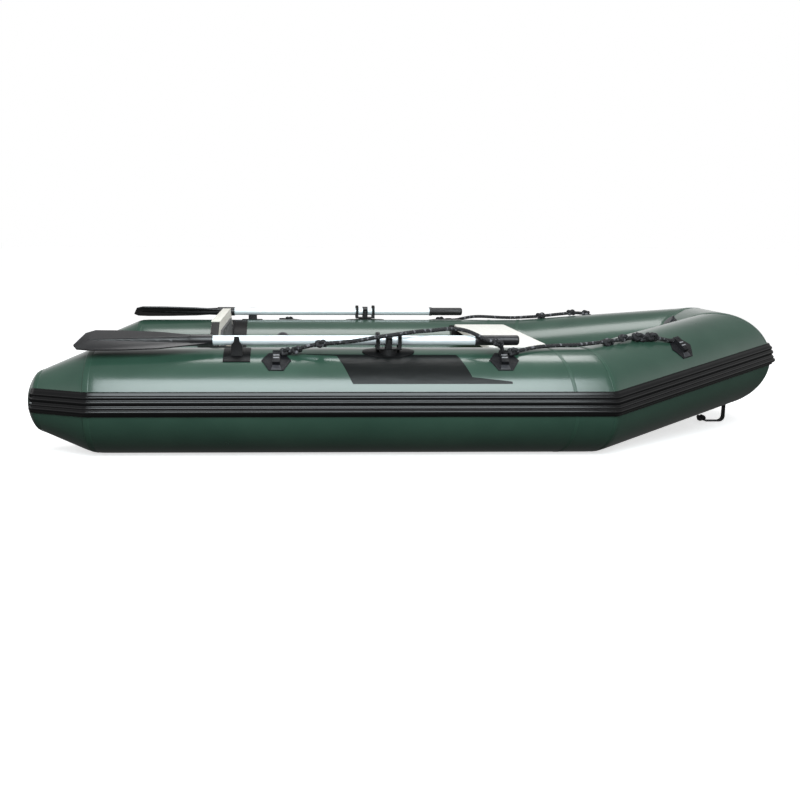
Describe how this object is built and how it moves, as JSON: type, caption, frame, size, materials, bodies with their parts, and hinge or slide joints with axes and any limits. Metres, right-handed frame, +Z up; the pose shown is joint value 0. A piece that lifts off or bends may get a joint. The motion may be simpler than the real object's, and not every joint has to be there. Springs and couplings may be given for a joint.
{
  "type": "inflatable dinghy",
  "caption": "Inflatable dinghy with upswept bow, rub strake, slatted floor, thwart, stern transom, lifelines, and oars that swing in their locks.",
  "frame": {"origin": "under the middle of the hull's length and beam, at the level of the tubes' undersides", "axes": "+X forward to the bow, +Y to port, +Z up"},
  "size_m": [3.0116, 1.532, 0.497],
  "materials": {
    "hull_fabric": "coated, satin",
    "strake_rubber": "semi-gloss extruded",
    "moulded_rubber": "matt moulded",
    "patch_fabric": "coated, matt",
    "thwart_paint": "painted, satin",
    "transom_ply": "painted, satin",
    "pad_plastic": "fine grain",
    "floor_ply": "varnished",
    "oar_aluminium": "anodised satin",
    "oar_plastic": "moulded",
    "rope_braid": "braided",
    "webbing": "woven",
    "screw_steel": "stainless",
    "valve_plastic": "moulded"
  },
  "bodies": {
    "root": {"side_tube_starboard": "hull_fabric", "stern_cone_starboard": "hull_fabric", "bow_tube_starboard": "hull_fabric", "rub_strake_side_starboard": "strake_rubber", "transom_holder_starboard": "moulded_rubber", "thwart_bracket_starboard": "moulded_rubber", "lifeline_patch_aft_starboard": "patch_fabric", "lifeline_patch_mid_starboard": "patch_fabric", "lifeline_patch_bow_starboard": "patch_fabric", "oarlock_base_starboard": "moulded_rubber", "oar_clip_starboard": "moulded_rubber", "lifeline_aft_starboard": "rope_braid", "lifeline_fore_starboard": "rope_braid", "side_tube_port": "hull_fabric", "stern_cone_port": "hull_fabric", "bow_tube_port": "hull_fabric", "rub_strake_side_port": "strake_rubber", "transom_holder_port": "moulded_rubber", "thwart_bracket_port": "moulded_rubber", "lifeline_patch_aft_port": "patch_fabric", "lifeline_patch_mid_port": "patch_fabric", "lifeline_patch_bow_port": "patch_fabric", "oarlock_base_port": "moulded_rubber", "oar_clip_port": "moulded_rubber", "lifeline_aft_port": "rope_braid", "lifeline_fore_port": "rope_braid", "nose_tube": "hull_fabric", "chamber_baffles": "hull_fabric", "hull_bottom": "hull_fabric", "floor_slats": "floor_ply", "rub_strake_bow": "strake_rubber", "rub_strake_stern": "strake_rubber", "transom_board": "transom_ply", "transom_cap": "transom_ply", "motor_pad_inner": "pad_plastic", "motor_pad_outer": "pad_plastic", "motor_pad_screws": "screw_steel", "drain_socket": "valve_plastic", "thwart_board": "thwart_paint", "tow_patch": "patch_fabric", "tow_strap": "webbing", "valve_bodies": "valve_plastic"},
    "oarlock_starboard": {"oarlock_yoke_starboard": "moulded_rubber"},
    "oar_starboard": {"oar_collar_starboard": "oar_plastic", "oar_shaft_aft_starboard": "oar_aluminium", "oar_shaft_fore_starboard": "oar_aluminium", "oar_spigot_starboard": "oar_aluminium", "oar_blade_starboard": "oar_plastic", "oar_grip_starboard": "oar_plastic"},
    "oarlock_port": {"oarlock_yoke_port": "moulded_rubber"},
    "oar_port": {"oar_collar_port": "oar_plastic", "oar_shaft_aft_port": "oar_aluminium", "oar_shaft_fore_port": "oar_aluminium", "oar_spigot_port": "oar_aluminium", "oar_blade_port": "oar_plastic", "oar_grip_port": "oar_plastic"},
    "drain_plug": {"drain_plug": "valve_plastic"},
    "valve_cap_starboard": {"valve_cap_starboard": "valve_plastic"},
    "valve_cap_port": {"valve_cap_port": "valve_plastic"},
    "valve_cap_bow": {"valve_cap_bow": "valve_plastic"}
  },
  "joints": [
    {"name": "oar_swing_starboard", "type": "hinge", "parent": "root", "child": "oarlock_starboard", "pos_m": [-0.1525, -0.614, 0.4025], "axis": [0, 0, 1], "range_deg": [0, 100], "deforming": ["oar_clip_starboard", "lifeline_aft_starboard"]},
    {"name": "oar_dip_starboard", "type": "hinge", "parent": "oarlock_starboard", "child": "oar_starboard", "pos_m": [-0.1525, -0.614, 0.436], "axis": [0, -1, 0], "range_deg": [0, 10]},
    {"name": "oar_swing_port", "type": "hinge", "parent": "root", "child": "oarlock_port", "pos_m": [-0.1525, 0.614, 0.4025], "axis": [0, 0, -1], "range_deg": [0, 100], "deforming": ["oar_clip_port"]},
    {"name": "oar_dip_port", "type": "hinge", "parent": "oarlock_port", "child": "oar_port", "pos_m": [-0.1525, 0.614, 0.436], "axis": [0, -1, 0], "range_deg": [0, 10]},
    {"name": "drain_plug_pull", "type": "slide", "parent": "root", "child": "drain_plug", "axis": [-1, 0, 0], "range_m": [0, 0.045]},
    {"name": "valve_cap_flip_starboard", "type": "hinge", "parent": "root", "child": "valve_cap_starboard", "pos_m": [-0.56, -0.40096, 0.35591], "axis": [1, 0, 0], "range_deg": [0, 110]},
    {"name": "valve_cap_flip_port", "type": "hinge", "parent": "root", "child": "valve_cap_port", "pos_m": [-0.56, 0.36739, 0.31361], "axis": [1, 0, 0], "range_deg": [0, 110]},
    {"name": "valve_cap_flip_bow", "type": "hinge", "parent": "root", "child": "valve_cap_bow", "pos_m": [1.15729, 0, 0.46742], "axis": [0, 1, 0], "range_deg": [0, 110]}
  ],
  "couplings": [
    {"joint": "oar_dip_starboard", "follows": "oar_swing_starboard", "ratio": 0.1},
    {"joint": "oar_dip_port", "follows": "oar_swing_port", "ratio": 0.1}
  ]
}
